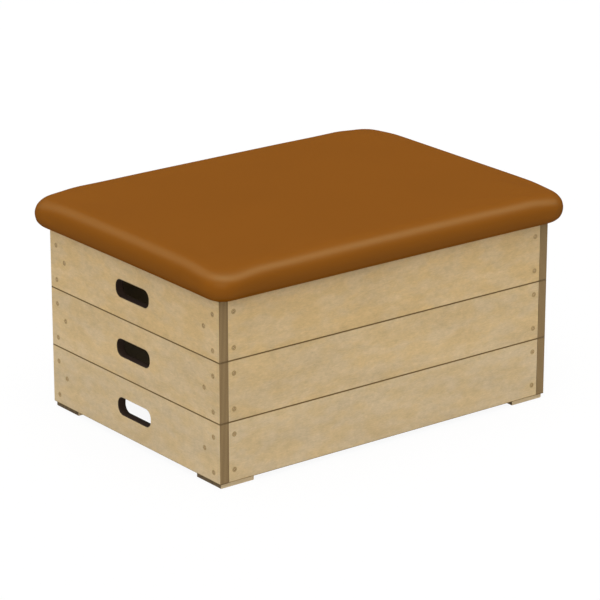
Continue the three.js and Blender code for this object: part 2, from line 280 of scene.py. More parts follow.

# Birch plywood: the edges, the rims darkened along the seams with stain and painted shade, the hand
# hole's walls painted dark as painted shade, and the dark ring of stain and painted shade round
# each screw
PLIES = 13
PLY_LIGHT = rgb(0.330, 0.226, 0.107)
PLY_DARK = rgb(0.173, 0.108, 0.046)
PLY_FADE = (0.38, 0.62)
PLY_WANDER, PLY_WANDER_SCALE = 0.16, 60.0
EDGE_GRAIN_SCALE, EDGE_GRAIN_SCALE_THROUGH = 700.0, 260.0
EDGE_GRAIN_SWING, HOLE_GRAIN_SWING = 0.28, 0.40
EDGE_ROUGHER = 0.18
# Dark tones of stain and painted shade, for the seams between sections and the ring round each
# screw
DARK_STAIN_AND_SHADE_TONE = rgb(0.275, 0.168, 0.036)
EDGE_STAIN_AND_SHADE_TONE = rgb(0.115, 0.070, 0.030)
RIM_WIDTH, RIM_CORE = 0.0026, 0.0014
RIM_STAIN_AND_SHADE_STRENGTH = 0.8
# Painted shade on the walls of each hand hole
HOLE_WALL_PAINTED_SHADE = rgb(0.026, 0.015, 0.010)
HOLE_LENGTH, HOLE_HEIGHT = 0.136, 0.044
HOLE_MARGIN, HOLE_FADE = 0.006, 0.002
# The ring round each screw is painted darker, partly stain and partly painted shade of the
# countersink
SCREW_RING_RADIUS, SCREW_RING_CORE = 0.0070, 0.0056
SCREW_STAIN_AND_SHADE_STRENGTH = 0.75

# How far a face's normal points along an axis: where it starts and ends to count as an edge of
# a panel, as the inside of a panel, and as the end of a piece of solid wood
EDGE_TURN = (0.95, 0.80)
INSIDE_TURN = (0.3, 0.7)
END_TURN = (0.55, 0.85)

# Solid wood: the light and dark of its long grain and of its end grain
POST_GRAIN = (rgb(0.45, 0.27, 0.12), rgb(0.30, 0.16, 0.065))
POST_END_GRAIN = (POST_GRAIN[1], POST_GRAIN[1])
FOOT_GRAIN = (rgb(0.60, 0.455, 0.265), rgb(0.50, 0.375, 0.21))
FOOT_END_GRAIN = (rgb(0.125, 0.085, 0.040), rgb(0.085, 0.054, 0.024))
SAWN_STREAKS = Pattern(9.0, 260.0, swing=0.42, detail=4.0, roughness=0.6)
SAWN_WAVES = Pattern(2.4, 16.0, swing=0.30, detail=2.0)
SAWN_CELLS = Pattern(900.0, 900.0, swing=0.56, detail=2.0, roughness=0.7)
SAWN_RINGS_IN_WAVE, SAWN_RINGS_IN_METRE = 9.0, 40.0
SAWN_RING_FADE, SAWN_RING_STRENGTH = (0.25, 0.85), 0.55
SAWN_END_RING_FADE = (0.3, 0.8)
SAWN_ROUGHNESS, SAWN_ROUGHNESS_SWING, SAWN_END_ROUGHER = 0.60, 0.18, 0.12
SAWN_SPECULAR = 0.3
SAWN_DEPTH = 0.00012
SAWN_STREAK_RELIEF = 0.7


class Plywood(Finish):
    """Rotary-cut birch veneer on a panel's flat sides, and its plies on every edge.

    low and high are where the two flat sides lie, measured from the middle of the box.
    """

    def __init__(self, name, grain_axis, face_axis, low, high):
        super().__init__(name)
        place = self.split(self.place())
        self.along, self.through = place[grain_axis], place[face_axis]
        self.across = place[X + Y + Z - grain_axis - face_axis]
        self.depth = (abs(self.through) - low) / (high - low)
        climb = place[Z] - SECTION_BASE
        self.level = math.floor((climb + SECTION_SLACK) / SECTION_PITCH)
        self.height = climb - self.level * SECTION_PITCH
        self.far = self.through > 0
        self.board = self.level * SECTION_GRAIN_STEP + self.far * WALL_GRAIN_STEP
        normal = self.normal()
        self.outward = normal[face_axis]
        self.on_edge = abs(self.outward).ramp(*EDGE_TURN)
        self.upright = abs(normal[Z]).ramp(*EDGE_TURN)
        self.streaks = self.grain(STREAKS)
        self.rings = (self.grain(GROWTH_WAVES) * RINGS_IN_WAVE).zigzag().ramp(*RING_LINE)
        self.pores = self.grain(PORES).ramp(*PORE_FADE)

    def grain(self, pattern):
        """A pattern along the grain, which lies differently on every board."""
        vector = self.vector(
            (self.along + self.board) * pattern.along,
            self.across * pattern.across,
            self.board + pattern.offset,
        )
        return self.noise(vector, **pattern.noise)

    def veneer(self):
        """The face: beige with gold patches, paler on the lower sections, partly as another veneer
        tone and partly as painted light, and darker inside as painted shade.
        """
        tone = 1.0
        for pattern in (BLOTCHES, MOTTLE, FLECKS):
            tone = tone + self.grain(pattern).about(pattern.swing)
        tone = tone + self.streaks.about(STREAKS.swing)
        tone = tone - self.rings * RING_DARKENING - self.pores * PORE_DARKENING
        # Paler towards the lower sections: partly veneer tone, partly painted light
        pale = 1.0 - self.level / (len(SECTIONS) - 1)
        beige = self.mix(pale, FACE_BEIGE, LOWER_TONE_AND_LIGHT_BEIGE)
        gold = self.mix(pale, FACE_GOLD, LOWER_TONE_AND_LIGHT_GOLD)
        golden = self.grain(GOLD_PATCHES).ramp(*GOLD_PATCH_FADE)
        face = self.shade(self.mix(golden, beige, gold), tone)
        # Painted shade: the faces inside the box are darkened
        inside = (self.outward * (1.0 - self.far * 2.0)).ramp(*INSIDE_TURN)
        return self.shade(face, 1.0 - inside * (1.0 - INSIDE_PAINTED_SHADE))

    def ringed_with_stain_and_shade(self, face, spots):
        """The face with a dark ring round each screw, partly stain and partly painted shade of the
        countersink.
        """
        gaps = [
            self.length(self.vector(abs(self.along) - along, self.height - height))
            for along, height in spots
        ]
        nearest = gaps[0]
        for gap in gaps[1:]:
            nearest = nearest.least(gap)
        ring = nearest.ramp(SCREW_RING_RADIUS, SCREW_RING_CORE) * SCREW_STAIN_AND_SHADE_STRENGTH
        return self.mix(ring, face, DARK_STAIN_AND_SHADE_TONE)

    def plies(self):
        """1 in the middle of each dark ply, and 0 in the middle of each light one."""
        wander = self.noise(
            self.vector(self.along * PLY_WANDER_SCALE, self.across * PLY_WANDER_SCALE, self.board)
        )
        return (self.depth * PLIES / 2.0 + wander.about(PLY_WANDER)).zigzag()

    def edge(self, plies, hole):
        """The cut plies, with the wall of a hand hole painted dark as painted shade."""
        grain = self.noise(
            self.vector(
                self.along * EDGE_GRAIN_SCALE,
                self.across * EDGE_GRAIN_SCALE,
                self.through * EDGE_GRAIN_SCALE_THROUGH,
            )
        )
        stripes = self.mix(plies.ramp(*PLY_FADE), PLY_LIGHT, PLY_DARK)
        edge = self.shade(stripes, 1.0 + grain.about(EDGE_GRAIN_SWING))
        if not hole:
            return edge
        # The wall of the hand hole is painted dark as painted shade
        reach, rise = HOLE_LENGTH / 2 + HOLE_MARGIN, HOLE_HEIGHT / 2 + HOLE_MARGIN
        from_middle = abs(self.height - PANEL_HEIGHT / 2)
        in_hole = abs(self.along).ramp(reach + HOLE_FADE, reach)
        in_hole = in_hole * from_middle.ramp(rise + HOLE_FADE, rise)
        return self.mix(in_hole, edge, self.shade(HOLE_WALL_PAINTED_SHADE, 1.0 + grain.about(HOLE_GRAIN_SWING)))

    def rim(self):
        """1 along the top and bottom rims of a panel, where the seams get stain and painted shade,
        and 0 on the faces that look up or down.
        """
        half = PANEL_HEIGHT / 2
        band = abs(self.height - half).ramp(half - RIM_WIDTH, half - RIM_CORE)
        return band * self.upright


def birch_plywood(name, grain_axis, face_axis, low, high, screw_spots=(), hole=False):
    ply = Plywood(name, grain_axis, face_axis, low, high)
    face = ply.veneer()
    if screw_spots:
        face = ply.ringed_with_stain_and_shade(face, screw_spots)
    plies = ply.plies()
    wood = ply.mix(ply.on_edge, face, ply.edge(plies, hole))
    # The seam rims are painted darker, partly as stain and partly as painted shade in the seam's
    # groove
    seam_stain_and_shade_tone = ply.mix(ply.on_edge, DARK_STAIN_AND_SHADE_TONE, EDGE_STAIN_AND_SHADE_TONE)
    relief = ply.streaks * STREAK_RELIEF - ply.pores * PORE_RELIEF - ply.rings * RING_RELIEF
    relief = relief * (1.0 - ply.on_edge) + plies * ply.on_edge
    roughness = VENEER_ROUGHNESS + ply.streaks.about(VENEER_ROUGHNESS_SWING)
    return ply.finished(
        Base_Color=ply.mix(ply.rim() * RIM_STAIN_AND_SHADE_STRENGTH, wood, seam_stain_and_shade_tone),
        Roughness=roughness + ply.on_edge * EDGE_ROUGHER,
        Normal=ply.bump(relief, VENEER_DEPTH),
        Specular_IOR_Level=VENEER_SPECULAR,
    )


def sawn_wood(name, grain_axis, long_grain, end_grain):
    """Solid wood with its grain along one axis, and end grain where the faces cut across it."""
    finish = Finish(name)
    place = finish.split(finish.place())
    along = place[grain_axis]
    side, other = (part for axis, part in enumerate(place) if axis != grain_axis)

    def grain(pattern):
        vector = finish.vector(
            side * pattern.across, other * pattern.across, along * pattern.along
        )
        return finish.noise(vector, **pattern.noise)

    streaks, waves, cells = grain(SAWN_STREAKS), grain(SAWN_WAVES), grain(SAWN_CELLS)
    rings = (waves * SAWN_RINGS_IN_WAVE + (side + other) * SAWN_RINGS_IN_METRE).zigzag()
    long_tone = finish.mix(rings.ramp(*SAWN_RING_FADE) * SAWN_RING_STRENGTH, *long_grain)
    long_swing = streaks.about(SAWN_STREAKS.swing) + waves.about(SAWN_WAVES.swing)
    end_tone = finish.mix(rings.ramp(*SAWN_END_RING_FADE), *end_grain)
    on_end = abs(finish.normal()[grain_axis]).ramp(*END_TURN)
    roughness = SAWN_ROUGHNESS + streaks.about(SAWN_ROUGHNESS_SWING)
    return finish.finished(
        Base_Color=finish.mix(
            on_end,
            finish.shade(long_tone, 1.0 + long_swing),
            finish.shade(end_tone, 1.0 + cells.about(SAWN_CELLS.swing)),
        ),
        Roughness=roughness + on_end * SAWN_END_ROUGHER,
        Normal=finish.bump(streaks * SAWN_STREAK_RELIEF + cells * on_end, SAWN_DEPTH),
        Specular_IOR_Level=SAWN_SPECULAR,
    )


def dress(node, material):
    """Gives a CAD node its finish."""
    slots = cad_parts[node].data.materials
    slots.clear()
    slots.append(material)


def dress_wood():
    back_low, back_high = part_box("bottom_back_panel")
    end_low, end_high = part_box("bottom_right_end_panel")
    pad_low, pad_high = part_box("pad_board")
    side_ply = birch_plywood(
        "birch_plywood_sides", X, Y, back_low.y, back_high.y, SIDE_SCREW_SPOTS
    )
    end_ply = birch_plywood(
        "birch_plywood_ends", Y, X, end_low.x, end_high.x, END_SCREW_SPOTS, hole=True
    )
    pad_ply = birch_plywood("birch_plywood_pad_board", X, Z, pad_low.z, pad_high.z)
    post_wood = sawn_wood("post_hardwood", Z, POST_GRAIN, POST_END_GRAIN)
    batten_wood = sawn_wood("batten_hardwood", X, POST_GRAIN, POST_END_GRAIN)
    foot_wood = sawn_wood("foot_hardwood", X, FOOT_GRAIN, FOOT_END_GRAIN)
    for section in SECTIONS:
        for wall in WALLS:
            dress(f"{section}_{wall}_panel", side_ply)
        for end in ENDS:
            dress(f"{section}_{end}_end_panel", end_ply)
            for wall in WALLS:
                dress(f"{section}_post_{wall}_{end}", post_wood)
    for wall in WALLS:
        dress(f"top_{wall}_batten", batten_wood)
        for end in ENDS:
            dress(f"foot_{wall}_{end}", foot_wood)
    dress("pad_board", pad_ply)


# Screws

END_SCREW_LENGTH = 0.060
SIDE_SCREW_LENGTH = 0.050
SCREW_SIZES = {
    "Head Diameter": 0.0095,
    "Shank Diameter": 0.0045,
    "Rim": 0.0005,
    "Countersink": 0.0025,
    "Sink": 0.0004,
    "Point": 0.005,
    "Recess Width": 0.0028,
    "Recess Span": 0.0066,
    "Recess Depth": 0.0016,
}
SCREW_SIDES = 24
FIRST_TURN_SEED = 3
POINT_BLUNTNESS = 0.05

STEEL_LIGHT = rgb(0.58, 0.42, 0.22)
STEEL_DARK = rgb(0.37, 0.255, 0.125)
STEEL_BLOTCHES_IN_METRE, STEEL_BLOTCH_FADE = 420.0, (0.35, 0.65)
TURNED_MARKS_IN_METRE, TURNED_MARK_DEPTH = 2600.0, 0.00002
STEEL_ROUGHNESS, STEEL_ROUGHNESS_SWING = 0.45, 0.22
# The recess of each head is painted dark, partly dirt and partly painted shade
RECESS_GRIME_AND_SHADE = rgb(0.030, 0.018, 0.010)
RECESS_GRIME_AND_SHADE_FADE = (0.0005, 0.0009)
GRIME_ROUGHER = 0.3


def zinc_steel():
    """Yellow zinc plate gone dull, with fine turned marks, darker blotches, and a recess painted
    dark, partly dirt and partly painted shade.
    """
    finish = Finish("screw_steel")
    place = finish.place()
    blotches = finish.noise(place, STEEL_BLOTCHES_IN_METRE, detail=3.0)
    marks = finish.noise(place, TURNED_MARKS_IN_METRE)
    depth = finish.node("ShaderNodeAttribute", {"attribute_name": "Depth"}, out="Fac")
    # Dirt and painted shade in the recess, by how deep each point lies
    grime_and_shade = depth.ramp(*RECESS_GRIME_AND_SHADE_FADE)
    steel = finish.mix(blotches.ramp(*STEEL_BLOTCH_FADE), STEEL_LIGHT, STEEL_DARK)
    roughness = STEEL_ROUGHNESS + marks.about(STEEL_ROUGHNESS_SWING)
    return finish.finished(
        Base_Color=finish.mix(grime_and_shade, steel, RECESS_GRIME_AND_SHADE),
        Roughness=roughness + grime_and_shade * GRIME_ROUGHER,
        Normal=finish.bump(marks, TURNED_MARK_DEPTH),
        Metallic=1.0,
    )


class ScrewTree(Graph):
    """Countersunk cross-recess screws, one on each point, facing along its Outward attribute.

    Each is built upright, with the panel's face at height 0, and then turned.
    """

    def __init__(self):
        super().__init__(bpy.data.node_groups.new("countersunk_screws", "GeometryNodeTree"))
        inlets = {
            "Spots": "NodeSocketGeometry",
            **{name: "NodeSocketFloat" for name in SCREW_SIZES},
            "Sides": "NodeSocketInt",
            "Turn Seed": "NodeSocketInt",
            "Steel": "NodeSocketMaterial",
        }
        new_socket = self.tree.interface.new_socket
        new_socket("Geometry", in_out="OUTPUT", socket_type="NodeSocketGeometry")
        for name, kind in inlets.items():
            new_socket(name, in_out="INPUT", socket_type=kind)
        self.size = dict(zip(inlets, self.node("NodeGroupInput", out=tuple(inlets))))
        self.shank = self.size["Shank Diameter"]
        self.neck = self.size["Sink"] + self.size["Rim"] + self.size["Countersink"]
        self.length = self.attribute("Length", "FLOAT")
        self.turn = self.turn_outward()
        parts = [self.heads(), self.rods(), self.points()]
        whole = self.node("GeometryNodeJoinGeometry", sockets={0: parts})
        real = self.node("GeometryNodeRealizeInstances", sockets={0: whole})
        steel = {"Geometry": real, "Material": self.size["Steel"]}
        done = self.node("GeometryNodeSetMaterial", sockets=steel)
        self.node("NodeGroupOutput", sockets={0: done}, out=())

    def attribute(self, name, kind):
        return self.node("GeometryNodeInputNamedAttribute", {"data_type": kind}, {"Name": name})

    def turn_outward(self):
        """The turn that points a screw outward, and rolls it by chance about its own axis."""
        outward = self.attribute("Outward", "FLOAT_VECTOR")
        facing = self.node("FunctionNodeAlignRotationToVector", {"axis": "Z"}, {"Vector": outward})
        chance = {"Min": 0.0, "Max": math.pi, "Seed": self.size["Turn Seed"]}
        roll = self.node("FunctionNodeRandomValue", {"data_type": "FLOAT"}, chance, out="Value")
        spin = self.node("FunctionNodeEulerToRotation", sockets={0: self.vector(z=roll)})
        turns = {0: facing, 1: spin}
        return self.node("FunctionNodeRotateRotation", {"rotation_space": "LOCAL"}, turns)

    def raised(self, form, height):
        sockets = {"Geometry": form, "Translation": self.vector(z=height)}
        return self.node("GeometryNodeTransform", sockets=sockets)

    def drum(self, diameter, depth):
        sockets = {"Vertices": self.size["Sides"], "Radius": diameter / 2.0, "Depth": depth}
        return self.node("GeometryNodeMeshCylinder", sockets=sockets)

    def taper(self, top, bottom, depth):
        sockets = {
            "Vertices": self.size["Sides"],
            "Radius Top": top / 2.0,
            "Radius Bottom": bottom / 2.0,
            "Depth": depth,
        }
        return self.node("GeometryNodeMeshCone", sockets=sockets)

    def bar(self, x, y, z):
        return self.node("GeometryNodeMeshCube", sockets={"Size": self.vector(x, y, z)})

    def boolean(self, operation, sockets):
        return self.node("GeometryNodeMeshBoolean", {"operation": operation}, sockets)

    def on_spots(self, form, scale=(1.0, 1.0, 1.0)):
        sockets = {
            "Points": self.size["Spots"],
            "Instance": form,
            "Rotation": self.turn,
            "Scale": scale,
        }
        return self.node("GeometryNodeInstanceOnPoints", sockets=sockets)

    def raised_on_spots(self, screws, height):
        """Moves each instance along its own screw."""
        sockets = {"Instances": screws, "Translation": self.vector(z=height)}
        return self.node("GeometryNodeTranslateInstances", sockets=sockets)

    def heads(self):
        """Heads with a cross recess, whose Depth attribute tells how far in each point lies."""
        size = self.size
        head, rim, sink = size["Head Diameter"], size["Rim"], size["Sink"]
        disc = self.raised(self.drum(head, rim), -sink - rim / 2.0)
        cone = self.raised(self.taper(head, self.shank, size["Countersink"]), -self.neck)
        solid = self.boolean("UNION", {1: [disc, cone]})
        span, width, tall = size["Recess Span"], size["Recess Width"], size["Recess Depth"] * 2.0
        bars = (self.bar(span, width, tall), self.bar(width, span, tall))
        cutters = [self.raised(bar, -sink) for bar in bars]
        crossed = self.boolean("DIFFERENCE", {0: solid, 1: cutters})
        height = self.split(self.node("GeometryNodeInputPosition"))[Z]
        whole = self.node(
            "GeometryNodeStoreNamedAttribute",
            {"data_type": "FLOAT", "domain": "POINT"},
            {"Geometry": crossed, "Name": "Depth", "Value": -height},
        )
        return self.on_spots(whole)

    def rods(self):
        rod = self.raised(self.drum(self.shank, 1.0), -0.5)
        length = self.length - self.neck - self.size["Point"]
        rods = self.on_spots(rod, self.vector(1.0, 1.0, length))
        return self.raised_on_spots(rods, -self.neck)

    def points(self):
        point = self.taper(self.shank, self.shank * POINT_BLUNTNESS, self.size["Point"])
        return self.raised_on_spots(self.on_spots(point), -self.length)


def screw_spots(section):
    """Each screw of a section: its place on the panel's face, its outward direction, its length."""
    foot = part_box(f"{section}_front_panel")[0].z
    half_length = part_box(f"{section}_right_end_panel")[1].x
    half_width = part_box(f"{section}_back_panel")[1].y
    spots = []
    for sign in (-1, 1):
        for end in (-1, 1):
            for along, height in SIDE_SCREW_SPOTS:
                place = Vector((end * along, sign * half_width, foot + height))
                spots.append((place, Vector((0, sign, 0)), SIDE_SCREW_LENGTH))
            for along, height in END_SCREW_SPOTS:
                place = Vector((sign * half_length, end * along, foot + height))
                spots.append((place, Vector((sign, 0, 0)), END_SCREW_LENGTH))
    return spots


def add_object(name, data):
    made = bpy.data.objects.new(name, data)
    bpy.context.scene.collection.objects.link(made)
    return made


def freeze(made):
    """Applies an object's modifiers, so that only its plain mesh is left."""
    evaluated = made.evaluated_get(bpy.context.evaluated_depsgraph_get())
    mesh = bpy.data.meshes.new_from_object(evaluated)
    mesh.name = made.name
    made.modifiers.clear()
    made.data = mesh


def drive_screws(section, tree, steel, seed):
    spots = screw_spots(section)
    mesh = bpy.data.meshes.new(f"{section}_screws")
    mesh.from_pydata([place for place, _, _ in spots], [], [])
    outward = mesh.attributes.new("Outward", "FLOAT_VECTOR", "POINT")
    outward.data.foreach_set("vector", [part for _, way, _ in spots for part in way])
    lengths = mesh.attributes.new("Length", "FLOAT", "POINT")
    lengths.data.foreach_set("value", [length for _, _, length in spots])
    screws = add_object(f"{section}_screws", mesh)
    modifier = screws.modifiers.new("screws", "NODES")
    modifier.node_group = tree
    sockets = {item.name: item.identifier for item in tree.interface.items_tree}
    inputs = {**SCREW_SIZES, "Sides": SCREW_SIDES, "Turn Seed": seed, "Steel": steel}
    for name, value in inputs.items():
        modifier[sockets[name]] = value
    freeze(screws)
    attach(screws, f"{section}_section")
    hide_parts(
        *(
            f"{section}_{wall}_screw_{end}_{level}"
            for wall in WALLS
            for end in ENDS
            for level in ("lower", "upper")
        ),
    )


# Pad

PAD_EDGE_THICKNESS = 0.085
PAD_TOP_ROUNDING = 0.040
PAD_BOTTOM_ROUNDING = 0.045
PAD_ROUNDING_STEPS = 6
PAD_CORNER_RADIUS = 0.060
PAD_CORNER_DROP = 0.012
PAD_CORNER_REACH = 0.150
PAD_CROWN = 0.003
PAD_CROWN_SHAPE = 0.7
PAD_DRAW_IN = 0.002
PAD_SKIN = 0.002
PAD_HEM_INSET = 0.070
PAD_POCKET_GAP = 0.0003
PAD_CELL = 0.0115

# The skin is blown up by a cloth simulation, which draws its edges in, so it starts a bit larger.
# No point moves further than PAD_SWELL, and what lies below the top of the board is held, with
# PAD_HOLD to spare.
PAD_EXTRA = 0.0006
PAD_SWELL = 0.0020
PAD_HOLD = 0.001
CLOTH_FRAMES = 20
CLOTH_QUALITY = 5
CLOTH_PRESSURE = 4.0
CLOTH_STRETCH_STIFFNESS = 40.0
CLOTH_SHEAR_STIFFNESS = 20.0
CLOTH_BENDING_STIFFNESS = 5.0
SMALLEST_STEP = 1e-9

VINYL_TONE = rgb(0.217, 0.0630, 0.0006)
VINYL_ROUGHNESS = 0.36
VINYL_CLOUDS_IN_METRE, VINYL_CLOUD_SWING = 5.0, 0.07
VINYL_GRAIN_IN_METRE, VINYL_GRAIN_SWING = 1800.0, 0.06
VINYL_PEBBLES = {"Scale": 620.0, "Smoothness": 0.6, "Randomness": 0.9}
VINYL_ROUGHNESS_SWING = 0.10
VINYL_GRAIN_DEPTH = 0.00004
PEBBLE_RELIEF, FINE_RELIEF = 0.8, 0.2
VINYL_SHINE = 0.018
VINYL_SHINE_TONE = rgb(0.62, 0.96, 0.60)


def pad_vinyl():
    """Smooth tan vinyl with a fine pebbled grain."""
    finish = Finish("pad_vinyl")
    place = finish.place()
    pebbles = finish.node(
        "ShaderNodeTexVoronoi", {"feature": "SMOOTH_F1"}, {"Vector": place, **VINYL_PEBBLES}
    )
    fine = finish.noise(place, VINYL_GRAIN_IN_METRE)
    clouds = finish.noise(place, VINYL_CLOUDS_IN_METRE, detail=3.0)
    tone = 1.0 + clouds.about(VINYL_CLOUD_SWING) + fine.about(VINYL_GRAIN_SWING)
    roughness = VINYL_ROUGHNESS + clouds.about(VINYL_ROUGHNESS_SWING)
    roughness = roughness + pebbles.about(VINYL_ROUGHNESS_SWING)
    grain = finish.bump(pebbles * PEBBLE_RELIEF + fine * FINE_RELIEF, VINYL_GRAIN_DEPTH)
    finish.finished(
        Base_Color=finish.shade(VINYL_TONE, tone),
        Roughness=roughness,
        Normal=grain,
        Specular_IOR_Level=0.0,
    )
    return finish.polished(VINYL_SHINE, VINYL_SHINE_TONE, roughness, grain)


def pad_top_grid(half_x, half_y, radius):
    """Points of a grid over a rectangle with round corners, row by row from the -Y side."""
    columns = round(2 * half_x / PAD_CELL)
    rows = round(2 * half_y / PAD_CELL)

    def rounded(x, y):
        a = (abs(x) - half_x + radius) / radius
        b = (abs(y) - half_y + radius) / radius
        if a <= 0 or b <= 0:
            return x, y
        u = a * math.sqrt(1 - b * b / 2)
        v = b * math.sqrt(1 - a * a / 2)
        far_x, far_y = half_x - radius + radius * u, half_y - radius + radius * v
        return math.copysign(far_x, x), math.copysign(far_y, y)

    xs = [half_x * (2 * i / columns - 1) for i in range(columns + 1)]
    ys = [half_y * (2 * j / rows - 1) for j in range(rows + 1)]
    return [[rounded(x, y) for x in xs] for y in ys]


class PadSkin:
    """The cushion's skin: top, rounded edge, hem under the board, walls of the board's pocket."""

    def __init__(self, low, high, board_high):
        self.low, self.high = low, high
        self.top_radius = PAD_TOP_ROUNDING + PAD_EXTRA
        self.flat_x = high.x + PAD_EXTRA - self.top_radius
        self.flat_y = high.y + PAD_EXTRA - self.top_radius
        self.flat_corner = PAD_CORNER_RADIUS - PAD_TOP_ROUNDING
        self.edge_top = high.z - PAD_CROWN + PAD_EXTRA
        self.skin_top = low.z + PAD_SKIN
        self.bm = bmesh.new()
        rim = self.add_top()
        self.feet = [(v.co.copy(), self.outward(v.co.x, v.co.y)) for v in rim]
        loop = self.add_rounded_edge(rim)
        self.drop_corners()
        self.add_hem(loop, board_high)

    def crown(self, x, y):
        across_x, across_y = x / (2 * self.flat_x), y / (2 * self.flat_y)
        swell = math.cos(math.pi * across_x) * math.cos(math.pi * across_y)
        return self.edge_top + PAD_CROWN * max(swell, 0.0) ** PAD_CROWN_SHAPE

    def outward(self, x, y):
        """The level direction in which the edge bulges from a point on the top's outline."""
        a, b = abs(x) - self.flat_x + self.flat_corner, abs(y) - self.flat_y + self.flat_corner
        if a > 0 and b > 0:
            return Vector((math.copysign(a, x), math.copysign(b, y), 0.0)).normalized()
        if abs(abs(x) - self.flat_x) < abs(abs(y) - self.flat_y):
            return Vector((math.copysign(1, x), 0, 0))
        return Vector((0, math.copysign(1, y), 0))

    def draw_in(self, place, way):
        """How far the side is drawn in, most in its middle and nothing at its corners."""
        along_y = abs(way.x) > abs(way.y)
        reach = (self.flat_y if along_y else self.flat_x) - self.flat_corner
        run = abs(place.y if along_y else place.x)
        return PAD_DRAW_IN * math.cos(math.pi / 2 * min(run / reach, 1.0))

    def add_top(self):
        """The crowned top. Returns its outline."""
        grid = pad_top_grid(self.flat_x, self.flat_y, self.flat_corner)
        rows = [[self.bm.verts.new((x, y, self.crown(x, y))) for x, y in row] for row in grid]
        for lower, upper in zip(rows, rows[1:]):
            for i in range(len(lower) - 1):
                self.bm.faces.new((lower[i], lower[i + 1], upper[i + 1], upper[i]))
        outline = rows[0] + [row[-1] for row in rows[1:-1]]
        return outline + rows[-1][::-1] + [row[0] for row in rows[-2:0:-1]]

    def add_ring(self, previous, inset, z, pull=1.0):
        """One more loop of skin after the last one, inset from the pad's widest outline."""
        made = []
        for place, way in self.feet:
            shift = self.top_radius - inset - self.draw_in(place, way) * pull
            x, y = place.x + way.x * shift, place.y + way.y * shift
            made.append(self.bm.verts.new((x, y, z)))
        for i in range(len(made)):
            j = (i + 1) % len(made)
            self.bm.faces.new((previous[i], made[i], made[j], previous[j]))
        return made

    def add_rounded_edge(self, loop):
        middle = self.low.z + PAD_BOTTOM_ROUNDING
        steps = range(1, PAD_ROUNDING_STEPS + 1)
        quarter = [math.pi / 2 * step / PAD_ROUNDING_STEPS for step in steps]
        for angle in quarter:
            pull = math.sin(angle)
            z = middle + (self.edge_top - middle) * math.cos(angle)
            loop = self.add_ring(loop, self.top_radius * (1 - pull), z, pull)
        for angle in quarter:
            inset = PAD_BOTTOM_ROUNDING * (1 - math.cos(angle))
            loop = self.add_ring(loop, inset, middle - PAD_BOTTOM_ROUNDING * math.sin(angle))
        return loop

    def drop_corners(self):
        """Lowers the pad towards the tip of each corner, most at the top of the edge."""
        for v in self.bm.verts:
            corner_gap = math.hypot(self.high.x - abs(v.co.x), self.high.y - abs(v.co.y))
            near = max(1 - corner_gap / PAD_CORNER_REACH, 0)
            lift = max(v.co.z - self.skin_top, 0) / PAD_EDGE_THICKNESS
            v.co.z -= PAD_CORNER_DROP * near * near * (3 - 2 * near) * lift

    def add_hem(self, loop, board_high):
        """The creased hem, and the walls up the board's sides to just above its top."""
        board_inset = self.high.x - board_high.x - PAD_POCKET_GAP
        hem = []
        for inset, z in (
            (PAD_HEM_INSET, self.low.z),
            (PAD_HEM_INSET, self.skin_top),
            (board_inset, self.skin_top),
            (board_inset, board_high.z + PAD_POCKET_GAP),
        ):
            loop = self.add_ring(loop, inset + PAD_EXTRA, z, pull=0.0)
            hem.append(loop)
        crease = self.bm.edges.layers.float.new("crease_edge")
        for loop in hem:
            for a, b in zip(loop, loop[1:] + loop[:1]):
                self.bm.edges.get((a, b))[crease] = 1.0

    def mesh(self, name):
        mesh = bpy.data.meshes.new(name)
        self.bm.to_mesh(mesh)
        self.bm.free()
        return mesh


def close_pocket(mesh):
    """Shuts the pocket for the board, over the board's top."""
    bm = bmesh.new()
    bm.from_mesh(mesh)
    bmesh.ops.edgeloop_fill(bm, edges=[edge for edge in bm.edges if edge.is_boundary])
    bmesh.ops.recalc_face_normals(bm, faces=bm.faces)
    bm.to_mesh(mesh)
    bm.free()


def swell(cushion, held_below):
    """Blows the skin up against its stitched-down underside, as foam under tight vinyl does."""
    start = [v.co.copy() for v in cushion.data.vertices]
    held = cushion.vertex_groups.new(name="held")
    held.add([i for i, co in enumerate(start) if co.z < held_below], 1.0, "REPLACE")
    cloth = cushion.modifiers.new("cloth", "CLOTH")
    settings = cloth.settings
    settings.use_pressure = True
    settings.uniform_pressure_force = CLOTH_PRESSURE
    settings.vertex_group_mass = "held"
    settings.effector_weights.gravity = 0.0
    settings.quality = CLOTH_QUALITY
    settings.tension_stiffness = settings.compression_stiffness = CLOTH_STRETCH_STIFFNESS
    settings.shear_stiffness = CLOTH_SHEAR_STIFFNESS
    settings.bending_stiffness = CLOTH_BENDING_STIFFNESS
    cloth.collision_settings.use_collision = False
    scene = bpy.context.scene
    for number in range(1, CLOTH_FRAMES + 1):
        scene.frame_set(number)
    evaluated = cushion.evaluated_get(bpy.context.evaluated_depsgraph_get())
    moved = [v.co.copy() for v in evaluated.data.vertices]
    cushion.modifiers.clear()
    cushion.vertex_groups.clear()
    scene.frame_set(1)
    for vertex, was, now in zip(cushion.data.vertices, start, moved):
        step = now - was
        if step.length > SMALLEST_STEP:
            step *= PAD_SWELL * math.tanh(step.length / PAD_SWELL) / step.length
        vertex.co = was + step


def make_pad():
    low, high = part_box("pad_cover")
    board_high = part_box("pad_board")[1]
    skin = PadSkin(low, high, board_high)
    cushion = add_object("pad_cushion", skin.mesh("pad_cushion"))
    swell(cushion, board_high.z + PAD_HOLD)
    smooth = cushion.modifiers.new("smooth", "SUBSURF")
    smooth.levels = smooth.render_levels = 1
    freeze(cushion)
    close_pocket(cushion.data)
    cushion.data.polygons.foreach_set("use_smooth", [True] * len(cushion.data.polygons))
    cushion.data.materials.append(pad_vinyl())
    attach(cushion, "top_section")
    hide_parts("pad_cover", "pad_foam")


# Studio

